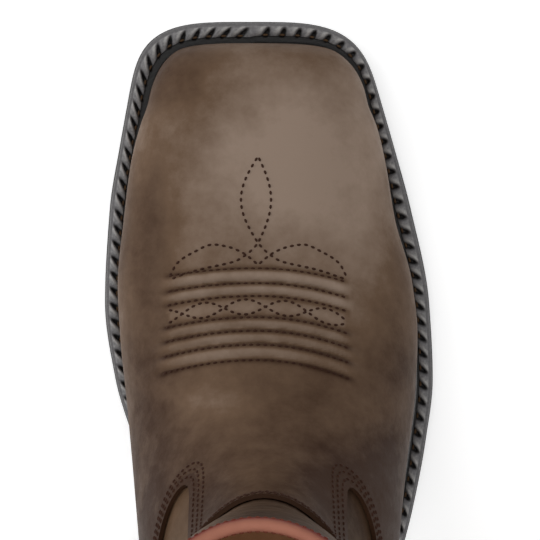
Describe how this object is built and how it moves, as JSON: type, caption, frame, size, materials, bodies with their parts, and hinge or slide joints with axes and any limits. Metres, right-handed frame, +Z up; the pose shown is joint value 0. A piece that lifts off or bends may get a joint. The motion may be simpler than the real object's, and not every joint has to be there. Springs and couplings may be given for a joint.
{
  "type": "western work boot",
  "caption": "Right pull-on western work boot with a wide square toe, welted lug sole, block heel, scalloped collar and two pull straps.",
  "frame": {"origin": "on the floor, under the middle of the boot's bounding box", "axes": "+Z up, the toe points along -Y, and +X is the inner side of the right foot"},
  "size_m": [0.1153, 0.308, 0.2985],
  "materials": {
    "vamp_leather": "oiled, distressed brown, paler over the toe",
    "shaft_leather": "dark brown, waxy",
    "counter_leather": "dark brown, waxy",
    "binding_leather": "red tan, smooth",
    "insole_board": "matt red brown",
    "welt_rubber": "moulded, matt grey brown",
    "sole_rubber": "moulded, matt charcoal",
    "heel_stack": "stacked, matt dark brown"
  },
  "bodies": {
    "root": {"upper": "shaft_leather", "vamp": "vamp_leather", "counter": "counter_leather", "collar_binding": "binding_leather", "piping_inner": "shaft_leather", "piping_outer": "shaft_leather", "pull_strap_inner": "counter_leather", "pull_strap_outer": "counter_leather", "insole": "insole_board", "welt": "welt_rubber", "outsole": "sole_rubber", "heel": "heel_stack", "heel_cap": "sole_rubber"}
  },
  "joints": []
}
